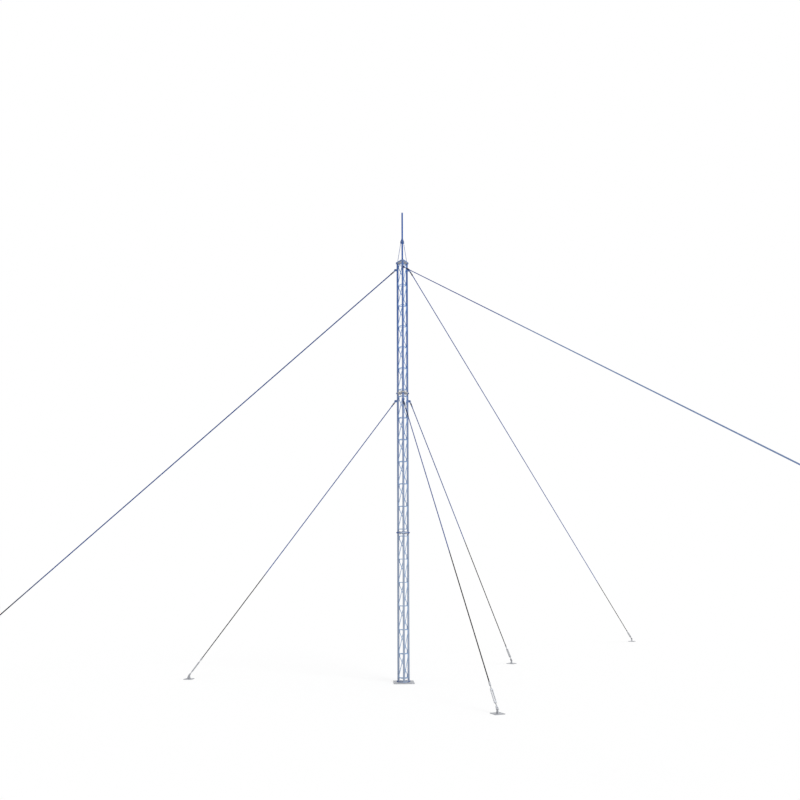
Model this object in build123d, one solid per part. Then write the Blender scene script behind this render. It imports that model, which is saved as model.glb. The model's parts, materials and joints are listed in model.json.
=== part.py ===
from build123d import *
from math import cos, radians, sin, sqrt
import os

# Guyed lattice mast: three welded triangular sections bolted end to end on a base plate, a plain
# pole on top with its own short stays, and two levels of three taut guys down to ground anchors.
# Millimetres. Z is up, the origin is under the middle of the base plate, and the front leg is on -Y.
# Bearings are degrees from -Y, positive towards +X.

# Lattice sections
section_names = ("lower", "middle", "upper")
section_length = 3000.0
face_width = 208.0  # between leg centre lines
leg_diameter = 44.0
leg_wall = 3.2
leg_bearings = {"front": 0.0, "right": 120.0, "left": -120.0}

# Plates across the ends of each section
flange_thickness = 12.0
top_plate_thickness = 28.0  # in place of the upper section's head flange
flange_lap = 16.0  # plate showing outside each leg

# Bracing: one bent bar to a face, level, down along a leg, across, down along the other leg
bay_count = 6
end_gap = 73.0  # from a section's end to the middle of its nearest level bar
brace_width = 14.0
brace_sides = 8
faces = {"rear": ("left", "right"), "right": ("right", "front"), "left": ("front", "left")}

# Base plate
base_side = 420.0
base_thickness = 20.0
base_hole_spacing = 320.0
base_hole_diameter = 22.0

# Top pole, its socket, and the collar whose fins its stays pull on; levels are above the top plate
pole_diameter = 34.0
pole_wall = 3.2
pole_length = 1170.0
socket_wall = 6.0
socket_height = 50.0
collar_wall = 8.0
collar_rim_wall = 4.0  # at the collar's top, above its taper
collar_foot_level = 430.0
collar_top_level = 545.0
collar_taper = 45.0
fin_foot_level = 445.0
fin_top_level = 535.0
fin_edge = 35.0  # height of its outer edge
fin_reach = 46.0  # from the pole's centre
fin_thickness = 14.0
stay_diameter = 10.0
stay_head_radius = 39.0

# Lugs standing straight out from the legs
lug_drop = 170.0  # below the top of the section that carries them
lug_thickness = 12.0
lug_height = 50.0
lug_length = 58.0  # out from the leg's surface
lug_corner = 8.0
lug_pin_reach = 38.0  # pin centre out from the leg's surface
pin_diameter = 16.0

# Shackles, each lying in its lug's plane
shackle_bar = 12.0
shackle_jaw = 22.0  # between the two sides
shackle_reach = 52.0  # pin centre to the inside of the bow
shackle_ear_diameter = 30.0
shackle_ear_overhang = 1.0  # past the bar on each side
pin_head_diameter = 24.0
pin_head_thickness = 8.0

# Eyes at the guys' top ends, each with a neck and a ferrule
eye_bar = 12.0
eye_width = 26.0  # between the middles of its two sides
eye_length = 46.0  # between the middles of its two ends
neck_length = 14.0
ferrule_diameter = 32.0
ferrule_length = 36.0

# Insulator in the lower front guy: a moulded rod with an eye at each end
insulator_length = 140.0  # between the middles of the eyes' outer ends
insulator_diameter = 40.0
insulator_eye = 34.0  # from there to the moulding

# Forks and turnbuckles
fork_side_gap = 1.0
fork_ear = 9.0
fork_height = 30.0
fork_length = 48.0  # pin centre to the end of the fork
fork_throat_gap = 3.0
screw_diameter = 16.0
screw_length = 55.0
body_length = 240.0
body_width = 44.0
body_thickness = 20.0
body_window = 20.0
body_nut = 32.0
swage_diameter = 32.0
swage_length = 60.0

# Anchors
anchor_turn = 20.0  # their bearings past the legs' own
anchor_side = 180.0
anchor_thickness = 12.0
anchor_bolt_circle = 170.0
anchor_hole_diameter = 14.0
anchor_eye_height = 75.0
anchor_ear_foot = 80.0
anchor_ear_height = 38.0
anchor_ear_thickness = 12.0

# Guys: fall for each unit of level run, and the rope's diameter
upper_guys = {"front": (0.547, 18.0), "right": (0.756, 20.0), "left": (0.859, 26.0)}
lower_guys = {"front": (1.51, 20.0), "right": (1.411, 20.0), "left": (1.311, 20.0)}
insulated_guy = ("lower", "front")

# Sleeves threaded on the two front guys: start from the middle of the shackle's bow, length, diameter
sleeves = {"upper": (216.0, 170.0, 32.0), "lower": (272.0, 212.0, 28.0)}

leg_circle = face_width / sqrt(3)
lattice_top = base_thickness + len(section_names) * section_length
bay = (section_length - 2 * end_gap) / bay_count
turnbuckle_length = fork_length + 2 * screw_length + body_length + swage_length
eye_start = (shackle_jaw - eye_bar) / 2  # from the middle of the shackle's bow
guy_levels = {"upper": (3, upper_guys), "lower": (2, lower_guys)}  # level: section whose top it holds

def outward(bearing):
    return Vector(sin(radians(bearing)), -cos(radians(bearing)), 0)

def leg_axis(leg, height=0.0):
    return outward(leg_bearings[leg]) * leg_circle + Vector(0, 0, height)

def upright(diameter, bottom, top, centre=Vector(0, 0, 0)):
    plane = Plane((centre.X, centre.Y, bottom))
    return extrude(plane * Circle(diameter / 2), amount=top - bottom)

def tube(diameter, wall, bottom, top, centre=Vector(0, 0, 0)):
    bore = upright(diameter - 2 * wall, bottom, top, centre)
    return upright(diameter, bottom, top, centre) - bore

def along(frame, diameter, start, end):
    """A round bar on the frame's own Z axis, between two distances from its origin."""
    return extrude(frame.offset(start) * Circle(diameter / 2), amount=end - start)

def triangle_plate(bottom, thickness):
    """A plate over the three leg ends, with corners rounded about the legs."""
    corner = leg_diameter / 2 + flange_lap
    outline = make_hull([e.moved(Location(leg_axis(leg))) for leg in leg_bearings
                         for e in Circle(corner).edges()])
    return extrude(Plane((0, 0, bottom)) * outline, amount=thickness)

def bracing(high_leg, low_leg, bottom):
    """One face's bent bar; each slope falls from the high leg to the low leg."""
    high = leg_axis(high_leg)
    low = leg_axis(low_leg)
    across = (low - high).normalized()
    inset = (leg_diameter + brace_width) / 2
    near = high + across * inset
    far = low - across * inset
    step = bay * inset / face_width  # how far the slope falls within the inset
    route = []
    for number in range(bay_count, 0, -1):
        level = bottom + end_gap + number * bay
        route += [far + Vector(0, 0, level), near + Vector(0, 0, level)]
        route += [near + Vector(0, 0, level - step), far + Vector(0, 0, level - bay + step)]
    route += [far + Vector(0, 0, bottom + end_gap), near + Vector(0, 0, bottom + end_gap)]
    section = Plane(route[0], x_dir=(0, 0, 1), z_dir=-across) * Rotation(0, 0, 180 / brace_sides)
    outline = section * RegularPolygon(brace_width / 2, brace_sides, major_radius=False)
    return sweep(outline, path=Polyline(*route), transition=Transition.RIGHT)

def guy_frames(leg, level_top, fall):
    """Frames of the shackle, at its pin, and of the guy's two ends, each with Z along the pull.

    The guy leaves from the middle of the shackle's bow and ends at its anchor's eye.
    """
    leg_bearing = leg_bearings[leg]
    pull_bearing = leg_bearing + anchor_turn
    lug_normal = outward(leg_bearing - 90)
    pull = (outward(pull_bearing) - Vector(0, 0, fall)).normalized()
    shackle_pull = pull - lug_normal * pull.dot(lug_normal)
    reach = leg_diameter / 2 + lug_pin_reach
    pin = leg_axis(leg, level_top - lug_drop) + outward(leg_bearing) * reach
    shackle_frame = Plane(pin, x_dir=lug_normal, z_dir=shackle_pull)
    bow = pin + shackle_frame.z_dir * (shackle_reach - shackle_jaw / 2)
    eye = bow + pull * ((anchor_eye_height - bow.Z) / pull.Z)
    return (
        shackle_frame,
        Plane(bow, x_dir=shackle_frame.y_dir, z_dir=pull),
        Plane(eye, x_dir=outward(pull_bearing + 90), z_dir=-pull),
    )

def lug(leg, level_top):
    """A plate welded upright to the leg, standing straight out."""
    bearing = leg_bearings[leg]
    height = level_top - lug_drop
    length = leg_diameter / 2 + lug_length
    side = Plane(leg_axis(leg, height), x_dir=outward(bearing), z_dir=outward(bearing - 90))
    outline = Pos(length / 2, 0) * RectangleRounded(length, lug_height, lug_corner)
    outline -= Pos(leg_diameter / 2 + lug_pin_reach, 0) * Circle(pin_diameter / 2)
    plate = extrude(side * outline, amount=lug_thickness / 2, both=True)
    return plate - upright(leg_diameter, height - lug_height, height + lug_height, leg_axis(leg))

def cross_bar(diameter, length):
    """A round bar centred on the origin, along X."""
    return Rotation(0, 90, 0) * Cylinder(diameter / 2, length)

def shackle(frame):
    """A shackle and its pin, with the pin at the frame's origin."""
    ears_width = shackle_jaw + 2 * shackle_bar + 2 * shackle_ear_overhang
    gap = shackle_jaw - 2 * shackle_ear_overhang
    side = (shackle_jaw + shackle_bar) / 2
    bow = shackle_reach - shackle_jaw / 2
    route = Line((-side, 0, 0), (-side, 0, bow))
    route += ThreePointArc((-side, 0, bow), (0, 0, bow + side), (side, 0, bow))
    route += Line((side, 0, bow), (side, 0, 0))
    whole = cross_bar(shackle_ear_diameter, ears_width)
    whole -= Box(gap, 2 * shackle_ear_diameter, 2 * shackle_ear_diameter)
    whole += sweep(Pos(-side, 0, 0) * Circle(shackle_bar / 2), path=route)
    whole += cross_bar(pin_diameter, ears_width)
    for end in (-1, 1):
        middle = end * (ears_width + pin_head_thickness) / 2
        whole += Pos(middle, 0, 0) * cross_bar(pin_head_diameter, pin_head_thickness)
    return frame * whole

def loop(frame, start, length):
    """A closed link of round bar in the frame's XZ plane, its near end at start."""
    side = eye_width / 2
    near = start + side
    far = start + length - side
    route = Line((side, 0, near), (side, 0, far))
    route += ThreePointArc((side, 0, far), (0, 0, far + side), (-side, 0, far))
    route += Line((-side, 0, far), (-side, 0, near))
    route += ThreePointArc((-side, 0, near), (0, 0, near - side), (side, 0, near))
    return frame * sweep(Pos(side, 0, near) * Circle(eye_bar / 2), path=route)

def thimble(frame, start, rope_diameter):
    """The guy's eye with its neck and ferrule."""
    neck_start = start + eye_length
    ferrule_start = neck_start + neck_length
    whole = loop(frame, start, eye_length) + along(frame, rope_diameter, neck_start, ferrule_start)
    return whole + along(frame, ferrule_diameter, ferrule_start, ferrule_start + ferrule_length)

def insulator(frame, start):
    moulding_end = start + insulator_length - insulator_eye
    moulding = along(frame, insulator_diameter, start + insulator_eye, moulding_end)
    return loop(frame, start, insulator_length) + moulding

def fork(frame):
    """A jaw that straddles an ear, with its pin; the jaw's far end is fork_length along the guy."""
    gap = anchor_ear_thickness + 2 * fork_side_gap
    width = gap + 2 * fork_ear
    throat = anchor_ear_height / 2 + fork_throat_gap
    jaw = Pos(0, 0, fork_length / 2) * Box(width, fork_height, fork_length)
    jaw += cross_bar(fork_height, width)
    jaw -= Pos(0, 0, throat - fork_length) * Box(gap, 2 * fork_height, 2 * fork_length)
    return frame * (jaw + cross_bar(pin_diameter, width))

def turnbuckle(frame):
    """The guy's bottom end: fork, screw, open body, screw and swaged socket."""
    body_start = fork_length + screw_length
    body_end = body_start + body_length
    screw_end = body_end + screw_length
    body = Pos(0, 0, body_start + body_length / 2) * Box(body_width, body_thickness, body_length)
    window = Box(body_window, 2 * body_thickness, body_length - 2 * body_nut)
    body -= Pos(0, 0, body_start + body_length / 2) * window
    whole = fork(frame) + along(frame, screw_diameter, fork_length, body_start) + frame * body
    whole += along(frame, screw_diameter, body_end, screw_end)
    return whole + along(frame, swage_diameter, screw_end, screw_end + swage_length)

def inward(frame):
    """The level direction from an anchor's eye towards the mast."""
    return Vector(frame.z_dir.X, frame.z_dir.Y, 0).normalized()

def anchor_plate(frame):
    plane = Plane((frame.origin.X, frame.origin.Y, 0), x_dir=inward(frame))
    plate = plane * Rectangle(anchor_side, anchor_side)
    holes = PolarLocations(anchor_bolt_circle / 2, 4, start_angle=45)
    plate -= [plane * spot * Circle(anchor_hole_diameter / 2) for spot in holes]
    return extrude(plate, amount=anchor_thickness)

def anchor_ear(frame):
    """An upright ear on the anchor's plate, for the turnbuckle's fork."""
    side = Plane(frame.origin, x_dir=inward(frame), z_dir=frame.x_dir)
    foot = anchor_thickness - anchor_eye_height
    ends = Circle(anchor_ear_height / 2).edges()
    ends += Line((-anchor_ear_foot / 2, foot), (anchor_ear_foot / 2, foot)).edges()
    ear = make_hull(ends) - Circle(pin_diameter / 2)
    return extrude(side * ear, amount=anchor_ear_thickness / 2, both=True)

def collar():
    """A sleeve round the pole, tapered at its top, with an upright fin above each stay."""
    bore = pole_diameter / 2
    outline = Polyline(
        (bore, collar_foot_level),
        (bore + collar_wall, collar_foot_level),
        (bore + collar_wall, collar_top_level - collar_taper),
        (bore + collar_rim_wall, collar_top_level),
        (bore, collar_top_level),
        close=True,
    )
    fin_outline = Polyline(
        (bore, fin_foot_level),
        (fin_reach, fin_foot_level),
        (fin_reach, fin_foot_level + fin_edge),
        (bore + collar_rim_wall, fin_top_level),
        close=True,
    )
    whole = revolve(Plane.XZ * make_face(outline), Axis.Z)
    for bearing in leg_bearings.values():
        side = Plane((0, 0, 0), x_dir=outward(bearing), z_dir=outward(bearing - 90))
        whole += extrude(side * make_face(fin_outline), amount=fin_thickness / 2, both=True)
    return Pos(0, 0, lattice_top) * whole

def stay(leg):
    """A thin stay from the top plate, above a leg, to the underside of the collar's fin."""
    foot = leg_axis(leg, lattice_top)
    head_level = lattice_top + fin_foot_level
    head = outward(leg_bearings[leg]) * stay_head_radius + Vector(0, 0, head_level)
    length = (head - foot).length
    bar = along(Plane(foot, z_dir=head - foot), stay_diameter,
                -stay_diameter, length + stay_diameter)
    return bar & Pos(0, 0, lattice_top + fin_foot_level / 2) * Box(
        4 * leg_circle, 4 * leg_circle, fin_foot_level)

def base_plate():
    outline = Rectangle(base_side, base_side)
    spots = GridLocations(base_hole_spacing, base_hole_spacing, 2, 2)
    outline -= [spot * Circle(base_hole_diameter / 2) for spot in spots]
    return extrude(outline, amount=base_thickness)

parts = {"base_plate": base_plate()}

for index, name in enumerate(section_names):
    head_thickness = top_plate_thickness if name == section_names[-1] else flange_thickness
    foot = base_thickness + index * section_length
    head = foot + section_length
    parts[f"{name}_section_foot_flange"] = triangle_plate(foot, flange_thickness)
    parts[f"{name}_section_head_flange"] = triangle_plate(head - head_thickness, head_thickness)
    for leg in leg_bearings:
        parts[f"{name}_section_{leg}_leg"] = tube(
            leg_diameter, leg_wall, foot + flange_thickness, head - head_thickness, leg_axis(leg))
    for face, (high_leg, low_leg) in faces.items():
        parts[f"{name}_section_{face}_bracing"] = bracing(high_leg, low_leg, foot)

pole_top = lattice_top + pole_length
socket_diameter = pole_diameter + 2 * socket_wall
parts["top_pole"] = tube(pole_diameter, pole_wall, lattice_top, pole_top)
parts["pole_socket"] = tube(
    socket_diameter, socket_wall, lattice_top, lattice_top + socket_height)
parts["pole_collar"] = collar()
parts["pole_stays"] = Compound([stay(leg) for leg in leg_bearings])

for level, (sections_below, guys) in guy_levels.items():
    level_top = base_thickness + sections_below * section_length
    lugs = []
    shackles = []
    thimbles = []
    turnbuckles = []
    plates = []
    ears = []
    for leg, (fall, rope_diameter) in guys.items():
        shackle_frame, top_frame, bottom_frame = guy_frames(leg, level_top, fall)
        span = (bottom_frame.origin - top_frame.origin).length
        thimble_frame = top_frame
        thimble_start = eye_start
        if (level, leg) == insulated_guy:
            parts[f"{level}_{leg}_guy_insulator"] = insulator(top_frame, eye_start)
            thimble_frame = Plane(top_frame.origin, x_dir=top_frame.y_dir, z_dir=top_frame.z_dir)
            thimble_start += insulator_length - eye_bar
        rope_start = thimble_start + eye_length + neck_length + ferrule_length
        lugs.append(lug(leg, level_top))
        shackles.append(shackle(shackle_frame))
        thimbles.append(thimble(thimble_frame, thimble_start, rope_diameter))
        turnbuckles.append(turnbuckle(bottom_frame))
        plates.append(anchor_plate(bottom_frame))
        ears.append(anchor_ear(bottom_frame))
        parts[f"{level}_{leg}_guy"] = along(
            top_frame, rope_diameter, rope_start, span - turnbuckle_length)
        if leg == "front":
            sleeve_start, length, diameter = sleeves[level]
            sleeve_end = sleeve_start + length
            bore = along(top_frame, rope_diameter, sleeve_start, sleeve_end)
            parts[f"{level}_{leg}_guy_sleeve"] = along(
                top_frame, diameter, sleeve_start, sleeve_end) - bore
    parts[f"{level}_guy_lugs"] = Compound(lugs)
    parts[f"{level}_guy_shackles"] = Compound(shackles)
    parts[f"{level}_guy_thimbles"] = Compound(thimbles)
    parts[f"{level}_guy_turnbuckles"] = Compound(turnbuckles)
    parts[f"{level}_anchor_plates"] = Compound(plates)
    parts[f"{level}_anchor_ears"] = Compound(ears)

os.makedirs("parts", exist_ok=True)
for name, shape in parts.items():
    export_step(shape, f"parts/{name}.step")
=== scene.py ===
import bmesh
import bpy
import json
from math import ceil, cos, pi, radians, sin, sqrt, tan
from mathutils import Matrix, Vector


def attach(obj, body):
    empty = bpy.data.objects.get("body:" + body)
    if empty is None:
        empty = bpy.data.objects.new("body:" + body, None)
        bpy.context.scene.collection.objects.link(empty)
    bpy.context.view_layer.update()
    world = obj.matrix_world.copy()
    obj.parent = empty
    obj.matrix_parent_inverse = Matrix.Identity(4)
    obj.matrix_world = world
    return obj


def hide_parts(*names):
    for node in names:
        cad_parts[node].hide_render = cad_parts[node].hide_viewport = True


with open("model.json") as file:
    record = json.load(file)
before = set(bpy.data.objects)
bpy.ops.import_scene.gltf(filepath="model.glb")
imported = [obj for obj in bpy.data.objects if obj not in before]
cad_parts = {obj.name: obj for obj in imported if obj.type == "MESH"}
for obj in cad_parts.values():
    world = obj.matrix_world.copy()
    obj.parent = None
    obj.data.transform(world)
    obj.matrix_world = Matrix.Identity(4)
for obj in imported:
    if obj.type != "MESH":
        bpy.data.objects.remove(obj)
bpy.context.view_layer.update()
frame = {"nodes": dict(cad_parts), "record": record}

# Sizes in metres, as in the CAD. Bearings are degrees from -Y, positive towards +X.
section_names = ("lower", "middle", "upper")
section_length = 3.0
base_thickness = 0.02
flange_thickness = 0.012
leg_bearings = {"front": 0.0, "right": 120.0, "left": -120.0}
leg_circle = 0.208 / sqrt(3)
leg_radius = 0.022
lattice_top = base_thickness + len(section_names) * section_length

bay_count = 6
end_gap = 0.073
bay = (section_length - 2 * end_gap) / bay_count
brace_radius = 0.007
brace_bend = 0.018
faces = {"rear": ("left", "right"), "right": ("right", "front"), "left": ("front", "left")}

socket_radius = 0.023
collar_radius = 0.025
fin_foot = lattice_top + 0.445
fin_thickness = 0.014
stay_radius = 0.005
stay_head_radius = 0.039

lug_drop = 0.17
lug_height = 0.05
lug_thickness = 0.012
pin_reach = leg_radius + 0.038
pin_radius = 0.008

shackle_bar = 0.012
shackle_jaw = 0.022
shackle_reach = 0.052
shackle_ear_radius = 0.015
shackle_half_width = 0.024

eye_bar = 0.012
eye_width = 0.026
eye_length = 0.046
eye_start = (shackle_jaw - eye_bar) / 2
neck_length = 0.014
ferrule_radius = 0.016
ferrule_length = 0.036

insulator_length = 0.14
insulator_radius = 0.02
insulator_eye = 0.034

anchor_turn = 20.0
anchor_eye_height = 0.075
anchor_thickness = 0.012
anchor_ear_foot = 0.08
fork_half_width = 0.016
fork_length = 0.048
screw_radius = 0.008
screw_length = 0.055
body_length = 0.24
swage_radius = 0.016
swage_length = 0.06
turnbuckle_length = fork_length + 2 * screw_length + body_length + swage_length

# Guys: the height of the section top that holds them, then each one's fall for each unit of level
# run and its rope's radius
guy_levels = {
    "upper": (lattice_top, {
        "front": (0.547, 0.009), "right": (0.756, 0.01), "left": (0.859, 0.013)}),
    "lower": (lattice_top - section_length, {
        "front": (1.51, 0.01), "right": (1.411, 0.01), "left": (1.311, 0.01)}),
}
insulated_guy = ("lower", "front")
sleeves = {"upper": (0.216, 0.17, 0.016), "lower": (0.272, 0.212, 0.014)}  # start, length, radius

UP = Vector((0, 0, 1))


def outward(bearing):
    return Vector((sin(radians(bearing)), -cos(radians(bearing)), 0))


def leg_axis(leg, height=0.0):
    return outward(leg_bearings[leg]) * leg_circle + UP * height


def axes(origin, z, x):
    """A place whose Z is along z, with X as near as it can be to x."""
    z = z.normalized()
    x = (x - z * x.dot(z)).normalized()
    place = Matrix((x, z.cross(x), z)).transposed().to_4x4()
    place.translation = origin
    return place


def rounded(corners, radius, steps=4):
    """The line through the corners, with an arc of that radius at each one inside."""
    path = [corners[0]]
    for before, corner, after in zip(corners, corners[1:], corners[2:]):
        back = (before - corner).normalized()
        on = (after - corner).normalized()
        half = back.angle(on) / 2
        centre = corner + (back + on).normalized() * (radius / sin(half))
        first = corner + back * (radius / tan(half)) - centre
        last = corner + on * (radius / tan(half)) - centre
        sweep = pi - 2 * half
        for step in range(steps + 1):
            part = sweep * step / steps
            path.append(centre + (first * sin(sweep - part) + last * sin(part)) / sin(sweep))
    return path + [corners[-1]]


def spaced(path, gap):
    """The same line with its points at most a gap apart."""
    points = []
    for a, b in zip(path, path[1:]):
        count = max(1, ceil((b - a).length / gap))
        points += [a.lerp(b, i / count) for i in range(count)]
    return points + [path[-1]]


class Shell:
    """Points and faces gathered for one piece."""

    def __init__(self):
        self.points = []
        self.faces = []

    def skin(self, rings, closed=False):
        """Joins a run of rings into a surface, capped at its ends or closed on itself."""
        first = len(self.points)
        size = len(rings[0])
        count = len(rings)
        for ring in rings:
            self.points.extend(ring)
        for i in range(count if closed else count - 1):
            a = first + i * size
            b = first + (i + 1) % count * size
            for j in range(size):
                k = (j + 1) % size
                self.faces.append((a + j, a + k, b + k, b + j))
        if not closed:
            last = first + (count - 1) * size
            self.faces.append([first + j for j in reversed(range(size))])
            self.faces.append([last + j for j in range(size)])

    def turned(self, place, profile, sides=24, closed=False):
        """Revolves pairs of radius and height about the place's Z."""
        angles = [2 * pi * i / sides for i in range(sides)]
        self.skin([[place @ Vector((r * cos(t), r * sin(t), h)) for t in angles]
                   for r, h in profile], closed)

    def hexagon(self, place, across, start, end):
        """A nut or bolt head, with its far edge eased."""
        corner = across / sqrt(3)
        ease = (end - start) * 0.15
        profile = ((corner, start), (corner, end - ease), (corner * 0.9, end))
        self.turned(place, profile, sides=6)

    def bar(self, path, radii, sides=12, closed=False):
        """Sweeps a round section along a path, with one radius or one for each point."""
        if not isinstance(radii, list):
            radii = [radii] * len(path)
        count = len(path)
        rings = []
        for i, point in enumerate(path):
            before = path[i - 1] if i or closed else point
            after = path[(i + 1) % count] if i < count - 1 or closed else point
            along = (after - before).normalized()
            if i:
                side.rotate(last.rotation_difference(along))
            else:
                side = along.orthogonal().normalized()
            last = along
            across = along.cross(side)
            turns = [2 * pi * j / sides for j in range(sides)]
            rings.append([point + (side * cos(t) + across * sin(t)) * radii[i] for t in turns])
        self.skin(rings, closed)

    def bead(self, path, radius, closed=False):
        """A weld bead along a path, with the ripples of its run."""
        if closed:
            path = path + path[:1]
        points = spaced(path, 0.003)
        if closed:
            points.pop()
        radii = [radius * (0.82 if i % 2 else 1.05) for i in range(len(points))]
        self.bar(points, radii, sides=6, closed=closed)

    def rope(self, place, start, end, radius, lay=0.15, strands=6):
        """A laid rope on the place's Z: one skin over its strands."""
        gap = 0.0125
        count = ceil((end - start) / gap)
        sides = strands * 3
        relief = radius * 0.09
        rings = []
        for i in range(count + 1):
            height = start + (end - start) * i / count
            twist = 2 * pi * (height - start) / lay
            ring = []
            for j in range(sides):
                around = 2 * pi * j / sides
                r = radius - relief * (1 - cos(strands * around)) / 2
                turn = around + twist
                ring.append(place @ Vector((r * cos(turn), r * sin(turn), height)))
            rings.append(ring)
        self.skin(rings)

    def piece(self, name, material, stands_for=()):
        """Makes the object, riding the part's one body."""
        data = bpy.data.meshes.new(name)
        data.from_pydata(self.points, [], self.faces)
        work = bmesh.new()
        work.from_mesh(data)
        bmesh.ops.recalc_face_normals(work, faces=work.faces)
        work.to_mesh(data)
        work.free()
        data.polygons.foreach_set("use_smooth", [True] * len(data.polygons))
        data.set_sharp_from_angle(angle=radians(40))
        data.materials.append(material)
        made = bpy.data.objects.new(name, data)
        bpy.context.scene.collection.objects.link(made)
        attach(made, "root")
        if stands_for:
            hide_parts(*stands_for)
        return made


# Materials

def paint(red, green, blue):
    """A linear colour from display values of 0 to 255."""
    values = [c / 255 for c in (red, green, blue)]
    return (*(((c + 0.055) / 1.055) ** 2.4 if c > 0.04045 else c / 12.92 for c in values), 1)


class Graph:
    """A material's nodes."""

    def __init__(self, name):
        self.material = bpy.data.materials.new(name)
        self.material.use_nodes = True
        self.tree = self.material.node_tree
        self.shader = self.tree.nodes["Principled BSDF"]
        self.position = self.add("ShaderNodeTexCoord").outputs["Object"]
        self.shader.inputs["Specular IOR Level"].default_value = 0.05

    def add(self, kind, inputs=(), **settings):
        node = self.tree.nodes.new(kind)
        for key, value in settings.items():
            setattr(node, key, value)
        for key, value in dict(inputs).items():
            self.feed(node.inputs[key], value)
        return node

    def feed(self, socket, value):
        if isinstance(value, bpy.types.NodeSocket):
            self.tree.links.new(value, socket)
        else:
            socket.default_value = value

    def noise(self, scale, stretch=(1, 1, 1), detail=3.0):
        """Noise over the object's own place, finer along the axes that are stretched."""
        place = self.add("ShaderNodeMapping", {"Vector": self.position, "Scale": stretch})
        node = self.add("ShaderNodeTexNoise", {
            "Vector": place.outputs[0], "Scale": scale, "Detail": detail, "Roughness": 0.6})
        return node.outputs["Fac"]

    def spread(self, value, low, high, to_low=0.0, to_high=1.0):
        node = self.add("ShaderNodeMapRange", {
            "Value": value, "From Min": low, "From Max": high,
            "To Min": to_low, "To Max": to_high}, interpolation_type="SMOOTHSTEP")
        return node.outputs[0]

    def blend(self, factor, a, b, way="MIX"):
        node = self.add("ShaderNodeMix", data_type="RGBA", blend_type=way)
        for socket, value in ((0, factor), (6, a), (7, b)):
            self.feed(node.inputs[socket], value)
        return node.outputs[2]

    def height(self, low, high):
        split = self.add("ShaderNodeSeparateXYZ", {"Vector": self.position})
        return self.spread(split.outputs["Z"], low, high)

    def finish(self, color, roughness, bump, depth):
        """Feeds the shader: colour, roughness and a bump of that depth in metres."""
        self.feed(self.shader.inputs["Base Color"], color)
        self.feed(self.shader.inputs["Roughness"], roughness)
        normal = self.add("ShaderNodeBump", {
            "Height": bump, "Distance": depth, "Strength": 0.6})
        self.feed(self.shader.inputs["Normal"], normal.outputs[0])
        return self.material


def painted(name, high, low, chalk=0.25, rust=0.35):
    """Paint that is deeper and bluer up high and paler and greyer low down; weathered: chalky in
    patches, streaked, with a few rust specks.
    """
    g = Graph(name)
    color = g.blend(g.height(2.0, 8.6), low, high)
    pale = g.blend(0.5, color, paint(205, 214, 228))
    color = g.blend(g.spread(g.noise(2.2), 0.45, 0.75, 0.0, chalk), color, pale)
    streaks = g.noise(30.0, (1, 1, 0.06))
    color = g.blend(g.spread(streaks, 0.5, 0.8, 0.0, 0.3), color, paint(44, 58, 92))
    specks = g.spread(g.noise(85.0, detail=5.0), 0.66, 0.74, 0.0, rust)
    color = g.blend(specks, color, paint(112, 74, 52))
    grain = g.noise(420.0, detail=2.0)
    return g.finish(color, g.spread(g.noise(9.0), 0.3, 0.7, 0.42, 0.66), grain, 0.0006)


def flange_coat():
    """Dull faces with blue edges: chalky on the low joints, and deeper towards the two sides.

    The upper joint's edges are worn grey between its corners.
    """
    g = Graph("flange_coat")
    normal = g.add("ShaderNodeNewGeometry").outputs["Normal"]
    tilt = g.add("ShaderNodeSeparateXYZ", {"Vector": normal}).outputs["Z"]
    flat = g.spread(g.add("ShaderNodeMath", {0: tilt}, operation="ABSOLUTE").outputs[0], 0.4, 0.8)
    sideways = g.add("ShaderNodeSeparateXYZ", {"Vector": g.position}).outputs["X"]
    sideways = g.add("ShaderNodeMath", {0: sideways}, operation="ABSOLUTE").outputs[0]
    ragged = g.spread(g.noise(40.0, detail=5.0), 0.35, 0.65, -0.007, 0.007)
    sideways = g.add("ShaderNodeMath", {0: sideways, 1: ragged}, operation="ADD").outputs[0]
    worn = g.add("ShaderNodeMath", {0: g.height(5.0, 5.5), 1: g.height(7.0, 7.5)},
                 operation="SUBTRACT").outputs[0]
    bare = g.add("ShaderNodeMath", {0: flat, 1: worn}, operation="MAXIMUM").outputs[0]
    kept = g.add("ShaderNodeMath", {0: bare, 1: g.spread(sideways, 0.108, 0.118)},
                 operation="SUBTRACT", use_clamp=True).outputs[0]
    grey = g.blend(g.noise(14.0), paint(156, 156, 158), paint(186, 185, 183))
    blue = g.blend(g.noise(8.0), paint(92, 116, 164), paint(104, 132, 180))
    edge = g.blend(g.noise(9.0), paint(142, 158, 188), paint(178, 191, 213))
    edge = g.blend(g.spread(sideways, 0.045, 0.115), edge, paint(66, 88, 144))
    high = g.height(4.5, 5.0)
    blue = g.blend(high, edge, blue)
    grey = g.blend(high, paint(146, 162, 190), grey)
    color = g.blend(kept, blue, grey)
    specks = g.spread(g.noise(70.0, detail=5.0), 0.62, 0.74, 0.0, 0.35)
    color = g.blend(specks, color, paint(120, 96, 78))
    return g.finish(color, 0.55, g.noise(300.0, detail=2.0), 0.0006)


def galvanised(name, light, dark):
    """Zinc with its spangle and dull patches."""
    g = Graph(name)
    cells = g.add("ShaderNodeTexVoronoi", {"Vector": g.position, "Scale": 160.0})
    spangle = g.add("ShaderNodeSeparateColor", {"Color": cells.outputs["Color"]}).outputs[0]
    color = g.blend(spangle, dark, light)
    color = g.blend(g.spread(g.noise(20.0), 0.45, 0.7, 0.0, 0.5), color, paint(176, 176, 178))
    g.shader.inputs["Metallic"].default_value = 0.75
    return g.finish(color, g.spread(spangle, 0.0, 1.0, 0.4, 0.6), g.noise(240.0), 0.0004)


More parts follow.
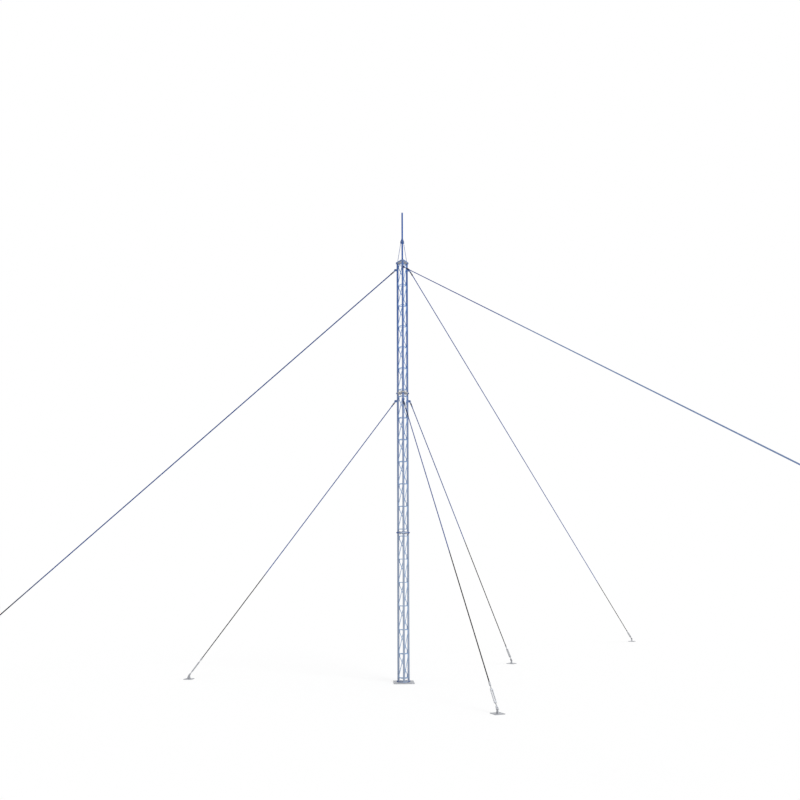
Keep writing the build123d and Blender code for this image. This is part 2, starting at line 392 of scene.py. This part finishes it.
def dark_coat(name, base, scuffed):
    """A dark coat, scuffed in places."""
    g = Graph(name)
    scuffs = g.spread(g.noise(55.0, detail=5.0), 0.58, 0.74, 0.0, 0.4)
    color = g.blend(scuffs, base, scuffed)
    return g.finish(color, g.spread(g.noise(25.0), 0.3, 0.7, 0.35, 0.6), g.noise(300.0), 0.0005)


def sheath(name, high, low, change):
    """A rope's plastic coat: its colours above and below the heights it changes between."""
    g = Graph(name)
    color = g.blend(g.height(*change), low, high)
    dirt = g.spread(g.noise(18.0, (1, 1, 0.4), detail=5.0), 0.45, 0.75, 0.0, 0.15)
    color = g.blend(dirt, color, paint(60, 62, 72))
    return g.finish(color, g.spread(g.noise(40.0), 0.3, 0.7, 0.5, 0.7), g.noise(350.0), 0.0004)


leg_paint = painted("leg_paint", paint(80, 109, 166), paint(150, 163, 184))
brace_paint = painted("brace_paint", paint(112, 156, 214), paint(150, 178, 212), rust=0.2)
pole_paint = painted("pole_paint", paint(4, 80, 158), paint(4, 80, 158), chalk=0.05, rust=0.1)
collar_paint = painted("collar_paint", paint(78, 104, 156), paint(78, 104, 156), chalk=0.1)
lug_paint = painted("lug_paint", paint(100, 124, 172), paint(100, 124, 172), chalk=0.1)
flange_steel = flange_coat()
zinc = galvanised("zinc", paint(196, 198, 202), paint(150, 153, 160))
blackened = dark_coat("blackened", paint(4, 20, 62), paint(36, 54, 98))
polymer = dark_coat("polymer", paint(60, 72, 98), paint(92, 102, 124))
guy_black = paint(16, 16, 20)
guy_coats = {
    ("upper", "front"): sheath(
        "upper_front_coat", paint(22, 62, 140), paint(116, 138, 178), (5.7, 7.2)),
    ("upper", "right"): sheath("upper_right_coat", paint(40, 76, 146), guy_black, (1.75, 1.9)),
    ("upper", "left"): sheath("upper_left_coat", paint(0, 60, 130), guy_black, (1.2, 2.4)),
    ("lower", "front"): sheath("lower_front_coat", paint(66, 88, 146), guy_black, (2.5, 2.7)),
    ("lower", "right"): sheath("lower_right_coat", paint(52, 82, 144), guy_black, (2.8, 3.0)),
    ("lower", "left"): sheath("lower_left_coat", paint(4, 66, 140), guy_black, (2.05, 2.25)),
}

sleeve_coats = {"upper": (blackened, "fitting_black"), "lower": (polymer, "dark_polymer")}
ferrule_coats = {"upper": (blackened, "fitting_black"), "lower": (lug_paint, "lug_paint")}
finishes = {
    "leg_paint": leg_paint,
    "bracing_paint": brace_paint,
    "pole_paint": pole_paint,
    "collar_paint": collar_paint,
    "lug_paint": lug_paint,
    "flange_steel": flange_steel,
    "galvanised_steel": zinc,
    "fitting_black": blackened,
    "dark_polymer": polymer,
    "guy_sheath": guy_coats["lower", "left"],
}
for part in frame["record"]["subparts"]:
    data = frame["nodes"][part["node"]].data
    data.materials.clear()
    data.materials.append(finishes[part["material_slot"]])


# Bracing: one bent round bar to a face, with weld beads where it lies along the legs

def brace_corners(high_leg, low_leg, bottom):
    high = leg_axis(high_leg)
    low = leg_axis(low_leg)
    across = (low - high).normalized()
    inset = leg_radius + brace_radius
    near = high + across * inset
    far = low - across * inset
    step = bay * inset / (low - high).length
    corners = []
    for number in range(bay_count, 0, -1):
        level = bottom + end_gap + number * bay
        corners += [far + UP * level, near + UP * level]
        corners += [near + UP * (level - step), far + UP * (level - bay + step)]
    return corners + [far + UP * (bottom + end_gap), near + UP * (bottom + end_gap)], across


for index, name in enumerate(section_names):
    bottom = base_thickness + index * section_length
    welds = Shell()
    for face, ends in faces.items():
        corners, across = brace_corners(*ends, bottom)
        rod = Shell()
        rod.bar(rounded(corners, brace_bend), brace_radius)
        rod.piece(f"{name}_{face}_brace", brace_paint,
                  [f"{name}_section_{face}_bracing"])
        out = across.cross(UP)
        for upper, lower in zip(corners, corners[1:]):
            if (upper - lower).cross(UP).length > 0.001:
                continue
            to_leg = min((leg_axis(leg) for leg in ends),
                         key=lambda p: (p.xy - upper.xy).length) - upper
            to_leg.z = 0
            to_leg.normalize()
            for side in (-1, 1):
                shift = to_leg * brace_radius * 0.75 + out * (side * brace_radius * 0.72)
                welds.bead([upper + shift - UP * 0.004, lower + shift + UP * 0.004], 0.0024)
    welds.piece(f"{name}_brace_welds", brace_paint)

# Section joints: weld rings round the legs, and bolts through each pair of plates

joints = Shell()
rings = Shell()
for index in range(len(section_names)):
    foot = base_thickness + index * section_length
    head = foot + section_length
    for leg in leg_bearings:
        for level, lift in ((foot + flange_thickness, 1), (head - flange_thickness, -1)):
            centre = leg_axis(leg, level + lift * 0.0012)
            circle = [centre + outward(10 * i) * (leg_radius + 0.0012) for i in range(36)]
            rings.bead(circle, 0.0032, closed=True)
    for a, b in faces.values():
        start = leg_axis(a)
        end = leg_axis(b)
        along = (end - start).normalized()
        out = ((start + end) / 2).normalized()
        for near, way in ((start, along), (end, -along)):
            spot = near + way * 0.05 + out * 0.006
            place = axes(spot + UP * (foot + flange_thickness), UP, out)
            joints.turned(place, ((0.015, 0), (0.015, 0.003)))
            joints.hexagon(place, 0.024, 0.003, 0.013)
            if index:
                under = axes(spot + UP * (foot - flange_thickness), -UP, out)
                joints.turned(under, ((0.015, 0), (0.015, 0.003)))
                joints.hexagon(under, 0.024, 0.003, 0.016)
                joints.turned(under, ((0.008, 0.016), (0.008, 0.022), (0.0065, 0.024)))
rings.piece("leg_welds", leg_paint)

# Top pole: its socket's weld ring and clamp screws, the collar's screws, the stays' welds

fixings = Shell()
collar_beads = Shell()
circle = [outward(10 * i) * (socket_radius + 0.001) + UP * (lattice_top + 0.0012)
          for i in range(36)]
fixings.bead(circle, 0.0035, closed=True)
for leg, bearing in leg_bearings.items():
    foot = leg_axis(leg, lattice_top)
    head = outward(bearing) * stay_head_radius + UP * fin_foot
    for end, way in ((foot, 1), (head, -1)):
        circle = []
        for i in range(24):
            rim = outward(15 * i) * (stay_radius + 0.0006)
            circle.append(end + rim + UP * (way * 0.001))
        fixings.bead(circle, 0.0022, closed=True)
    for side in (-1, 1):
        root = outward(bearing) * collar_radius + outward(bearing + 90) * (side * fin_thickness / 2)
        collar_beads.bead([root + UP * (fin_foot + rise) for rise in (0.002, 0.07)], 0.0024)
fixings.piece("pole_welds", pole_paint)
collar_beads.piece("collar_welds", collar_paint)

for bearing in (60.0, 180.0, 300.0):
    way = outward(bearing)
    for level, radius, across in ((lattice_top + 0.028, socket_radius, 0.013),
                                  (fin_foot + 0.018, collar_radius, 0.013)):
        place = axes(way * radius + UP * level, way, UP)
        joints.turned(place, ((0.0085, -0.001), (0.0085, 0.0015)))
        joints.hexagon(place, across, 0.0015, 0.0085)
joints.piece("joint_bolts", zinc)


# Guys

def guy_frames(leg, level_top, fall):
    """The shackle's place at its pin and the guy's two ends, each with Z along the pull."""
    bearing = leg_bearings[leg]
    lug_normal = outward(bearing - 90)
    pull = (outward(bearing + anchor_turn) - UP * fall).normalized()
    pin = leg_axis(leg, level_top - lug_drop) + outward(bearing) * pin_reach
    at_pin = axes(pin, pull - lug_normal * pull.dot(lug_normal), lug_normal)
    bow = at_pin @ Vector((0, 0, shackle_reach - shackle_jaw / 2))
    eye = bow + pull * ((anchor_eye_height - bow.z) / pull.z)
    ring_side = at_pin.to_3x3() @ Vector((0, 1, 0))
    return at_pin, axes(bow, pull, ring_side), axes(eye, -pull, outward(bearing + anchor_turn + 90))


def shackle(shell, place):
    """A bow, two ears, and a bolt through them with its head, nut and split pin."""
    side = (shackle_jaw + shackle_bar) / 2
    bow = shackle_reach - shackle_jaw / 2
    arc = [Vector((-side * cos(t), 0, bow + side * sin(t))) for t in
           [pi * i / 16 for i in range(17)]]
    path = spaced([Vector((-side, 0, 0.006)), arc[0]], 0.012) + arc[1:]
    path += spaced([arc[-1], Vector((side, 0, 0.006))], 0.012)[1:]
    shell.bar([place @ p for p in path], shackle_bar / 2, sides=16)
    inner = shackle_jaw / 2 - 0.001
    outer = shackle_half_width
    ease = 0.003
    for end in (-1, 1):
        ear = place @ axes(Vector((0, 0, 0)), Vector((end, 0, 0)), UP)
        shell.turned(ear, (
            (shackle_ear_radius - ease, inner), (shackle_ear_radius, inner + ease),
            (shackle_ear_radius, outer - ease), (shackle_ear_radius - ease, outer)), sides=32)
        shell.hexagon(ear, 0.024, outer, outer + 0.008)
    bolt = place @ axes(Vector((0, 0, 0)), Vector((1, 0, 0)), UP)
    shell.turned(bolt, ((pin_radius, -outer), (pin_radius, outer + 0.008),
                        (pin_radius * 0.85, outer + 0.011)))
    across = place @ Vector((outer + 0.0095, 0, 0))
    upright = place.to_3x3() @ UP
    shell.bar([across - upright * 0.011, across + upright * 0.013], 0.0014, sides=8)


def eye_loop(start, length, offset=0.0):
    """The closed line of an eye in its own X and Z, that far outside the middle of its bar."""
    side = eye_width / 2 + offset
    near = start + eye_width / 2
    far = start + length - eye_width / 2
    turns = [pi * i / 14 for i in range(15)]
    loop = [Vector((side * cos(t), 0, far + side * sin(t))) for t in turns]
    return loop + [Vector((-side * cos(t), 0, near - side * sin(t))) for t in turns]


def insulator(shell, place, start):
    """A moulded rod, ribbed and eased at its ends, over the two eyes of its core."""
    r = insulator_radius
    shell.bar([place @ p for p in eye_loop(start, insulator_length)], eye_bar / 2, sides=16,
              closed=True)
    low = start + insulator_eye
    high = start + insulator_length - insulator_eye
    profile = [(r * 0.7, low), (r * 0.92, low + 0.002), (r, low + 0.007)]
    for rib in range(4):
        middle = low + (high - low) * (rib + 1) / 5
        profile += [(r, middle - 0.004), (r * 0.93, middle - 0.002),
                    (r * 0.93, middle + 0.002), (r, middle + 0.004)]
    profile += [(r, high - 0.007), (r * 0.92, high - 0.002), (r * 0.7, high)]
    shell.turned(place, profile, sides=32)


def thimble(shell, place, start, rope_radius):
    """A grooved eye with a web in its far half, and the neck of the rope below it."""
    shell.bar([place @ p for p in eye_loop(start, eye_length)], eye_bar * 0.42, closed=True)
    side = eye_width / 2
    turn = start + eye_length - side
    web = []
    for height in (start + eye_length / 2, turn, turn + side * 0.5, turn + side * 0.85):
        half = sqrt(side ** 2 - max(0.0, height - turn) ** 2)
        corners = ((-half, -0.004), (half, -0.004), (half, 0.004), (-half, 0.004))
        web.append([place @ Vector((x, y, height)) for x, y in corners])
    shell.skin(web)
    for way in (-1, 1):
        lip = place @ Matrix.Translation((0, way * eye_bar * 0.33, 0))
        shell.bar([lip @ p for p in eye_loop(start, eye_length, 0.001)], eye_bar * 0.17,
                  sides=8, closed=True)
    far = start + eye_length
    low = far + neck_length
    shell.turned(place, ((rope_radius * 0.8, far - 0.002), (rope_radius, far + 0.004),
                         (rope_radius, low)))


def ferrule(shell, place, start):
    """A crimped ferrule with eased ends."""
    r = ferrule_radius
    high = start + ferrule_length
    crimps = [(r - 0.003, start), (r, start + 0.003)]
    for band in range(3):
        middle = start + ferrule_length * (band + 1) / 4
        crimps += [(r, middle - 0.003), (r - 0.0014, middle - 0.0015),
                   (r - 0.0014, middle + 0.0015), (r, middle + 0.003)]
    shell.turned(place, crimps + [(r, high - 0.003), (r - 0.003, high)], sides=32)


def bottom_fittings(shell, place):
    """What a turnbuckle needs on it: screw threads, lock nuts, swage bands, its pin's ends."""
    far_screw = fork_length + screw_length + body_length
    swage = far_screw + screw_length
    nut = 0.009
    for low, nut_start in ((fork_length, fork_length + screw_length - nut), (far_screw, far_screw)):
        steps = 2 * int(screw_length / 0.002)
        shell.turned(place, [(screw_radius + 0.0007 * (i % 2), low + screw_length * i / steps)
                             for i in range(steps + 1)])
        shell.hexagon(place, 0.024, nut_start, nut_start + nut)
    r = swage_radius
    for band in range(4):
        middle = swage + swage_length * (band + 1) / 5
        shell.turned(place, ((r - 0.002, middle - 0.003), (r + 0.0008, middle - 0.002),
                             (r + 0.0008, middle + 0.002), (r - 0.002, middle + 0.003)), sides=32)
    pin = place @ axes(Vector((0, 0, 0)), Vector((1, 0, 0)), UP)
    low = fork_half_width
    for turn, r, high in ((pi, 0.012, low + 0.006), (0, 0.011, low + 0.003)):
        head = pin @ Matrix.Rotation(turn, 4, "X")
        shell.turned(head, ((r, low), (r, high - 0.001), (r - 0.001, high)))
    shell.turned(pin, ((pin_radius, low + 0.003), (pin_radius, low + 0.009),
                       (pin_radius - 0.002, low + 0.011)))
    split = place @ Vector((low + 0.006, 0, 0))
    upright = place.to_3x3() @ UP
    shell.bar([split - upright * 0.012, split + upright * 0.014], 0.0014, sides=8)


def lug_welds(shell, leg, height):
    """Beads down both sides of a lug, where it meets its leg."""
    bearing = leg_bearings[leg]
    beside = outward(bearing + 90)
    for side in (-1, 1):
        spot = leg_axis(leg, height) + outward(bearing) * (leg_radius - 0.001)
        spot += beside * (side * (lug_thickness / 2 + 0.0008))
        half = UP * (lug_height / 2 + 0.001)
        shell.bead([spot - half, spot + half], 0.0034)
    for end in (-1, 1):
        spot = leg_axis(leg, height + end * (lug_height / 2 + 0.0008))
        spot += outward(bearing) * (leg_radius + 0.0006)
        across = beside * (lug_thickness / 2)
        shell.bead([spot - across, spot + across], 0.0032)


def ear_welds(shell, place):
    """Beads along both sides of an anchor's ear."""
    along = Vector((place.col[2].x, place.col[2].y, 0)).normalized()
    beside = along.cross(UP)
    centre = Vector((place.translation.x, place.translation.y, anchor_thickness + 0.001))
    for side in (-1, 1):
        spot = centre + beside * (side * 0.0068)
        half = along * (anchor_ear_foot / 2)
        shell.bead([spot - half, spot + half], 0.0036)


lug_beads = Shell()
for level, (level_top, guys) in guy_levels.items():
    shackles = Shell()
    thimbles = Shell()
    ferrules = Shell()
    fittings = Shell()
    for leg, (fall, rope_radius) in guys.items():
        at_pin, top, bottom = guy_frames(leg, level_top, fall)
        span = (bottom.translation - top.translation).length
        shackle(shackles, at_pin)
        start = eye_start
        if (level, leg) == insulated_guy:
            rod = Shell()
            insulator(rod, top, start)
            rod.piece(f"{level}_{leg}_insulator", polymer,
                      [f"{level}_{leg}_guy_insulator"])
            start += insulator_length - eye_bar
            bright = Shell()
            thimble(bright, top @ Matrix.Rotation(pi / 2, 4, "Z"), start, rope_radius)
            start += eye_length + neck_length
            ferrule(bright, top, start)
            bright.piece(f"{level}_{leg}_thimble", zinc)
        else:
            thimble(thimbles, top, start, rope_radius)
            start += eye_length + neck_length
            ferrule(ferrules, top, start)
        rope = Shell()
        rope.rope(top, start + ferrule_length, span - turnbuckle_length, rope_radius)
        rope.piece(f"{level}_{leg}_rope", guy_coats[level, leg],
                   [f"{level}_{leg}_guy"])
        if leg == "front":
            start, length, radius = sleeves[level]
            end = start + length
            sleeve = Shell()
            sleeve.turned(top, (
                (rope_radius + 0.0005, start), (radius * 0.75, start + 0.002),
                (radius, start + 0.014), (radius, end - 0.014),
                (radius * 0.75, end - 0.002), (rope_radius + 0.0005, end)), sides=32)
            coat, slot = sleeve_coats[level]
            sleeve.piece(f"{level}_sleeve", coat, [f"{level}_front_guy_sleeve"])
        bottom_fittings(fittings, bottom)
        ear_welds(fittings, bottom)
        lug_welds(lug_beads, leg, level_top - lug_drop)
    shackles.piece(f"{level}_shackles", lug_paint, [f"{level}_guy_shackles"])
    thimbles.piece(f"{level}_thimbles", blackened, [f"{level}_guy_thimbles"])
    coat, slot = ferrule_coats[level]
    ferrules.piece(f"{level}_ferrules", coat)
    fittings.piece(f"{level}_anchor_fittings", zinc)
lug_beads.piece("lug_welds", lug_paint)

# Camera

yaw, distance, side, height = 2.874, 17.872, 0.060, 2.322
pitch, roll, focal = radians(11.204), radians(-0.16), 840.0
forward = -outward(-yaw)
right = Vector((forward.y, -forward.x, 0))
aim = forward * cos(pitch) + UP * sin(pitch)
over = UP * cos(pitch) - forward * sin(pitch)
across = right * cos(roll) + over * sin(roll)
above = over * cos(roll) - right * sin(roll)
lens = bpy.data.cameras.new("camera")
lens.sensor_width = 36.0
lens.lens = focal / 800 * lens.sensor_width
camera = bpy.data.objects.new("camera", lens)
bpy.context.scene.collection.objects.link(camera)
camera.matrix_world = Matrix((across, above, -aim)).transposed().to_4x4()
camera.matrix_world.translation = -forward * distance - right * side + UP * height
bpy.context.scene.camera = camera


# Floor, sky and lamp

def seen_rays(tree):
    """1 for what the camera sees straight, in a reflection or through glass."""
    path = tree.nodes.new("ShaderNodeLightPath")
    seen = path.outputs["Is Camera Ray"]
    for ray in ("Is Glossy Ray", "Is Transmission Ray"):
        either = tree.nodes.new("ShaderNodeMath")
        either.operation = "MAXIMUM"
        tree.links.new(seen, either.inputs[0])
        tree.links.new(path.outputs[ray], either.inputs[1])
        seen = either.outputs[0]
    return seen


sky = bpy.data.worlds.new("sky")
bpy.context.scene.world = sky
sky.use_nodes = True
dim = sky.node_tree.nodes["Background"]
dim.inputs["Color"].default_value = (1, 1, 1, 1)
dim.inputs["Strength"].default_value = 0.72
white = sky.node_tree.nodes.new("ShaderNodeBackground")
white.inputs["Color"].default_value = (1, 1, 1, 1)
choose = sky.node_tree.nodes.new("ShaderNodeMixShader")
sky.node_tree.links.new(seen_rays(sky.node_tree), choose.inputs[0])
sky.node_tree.links.new(dim.outputs[0], choose.inputs[1])
sky.node_tree.links.new(white.outputs[0], choose.inputs[2])
sky.node_tree.links.new(choose.outputs[0], sky.node_tree.nodes["World Output"].inputs["Surface"])

ground = bpy.data.meshes.new("floor")
reach = 400.0
corners = ((-reach, -reach, 0.0), (reach, -reach, 0.0), (reach, reach, 0.0), (-reach, reach, 0.0))
ground.from_pydata(corners, [], [(0, 1, 2, 3)])
floor = bpy.data.objects.new("floor", ground)
bpy.context.scene.collection.objects.link(floor)
g = Graph("floor_white")
g.shader.inputs["Base Color"].default_value = (1, 1, 1, 1)
g.shader.inputs["Roughness"].default_value = 0.9
g.shader.inputs["Specular IOR Level"].default_value = 0.0
glow = g.add("ShaderNodeEmission", {"Color": (1, 1, 1, 1), "Strength": 1.0})
lift = g.add("ShaderNodeMath", {0: seen_rays(g.tree), 1: 0.6}, operation="MULTIPLY")
both = g.add("ShaderNodeMixShader", {
    0: lift.outputs[0], 1: g.shader.outputs[0], 2: glow.outputs[0]})
g.tree.links.new(both.outputs[0], g.tree.nodes["Material Output"].inputs["Surface"])
ground.materials.append(g.material)

sun = bpy.data.lights.new("key", "SUN")
sun.energy = 1.19
sun.angle = radians(25)
key = bpy.data.objects.new("key", sun)
bpy.context.scene.collection.objects.link(key)
key.matrix_world = axes(Vector((0, 0, 12)), outward(35) + UP * 1.1, UP)

bpy.context.scene.view_settings.view_transform = "Standard"
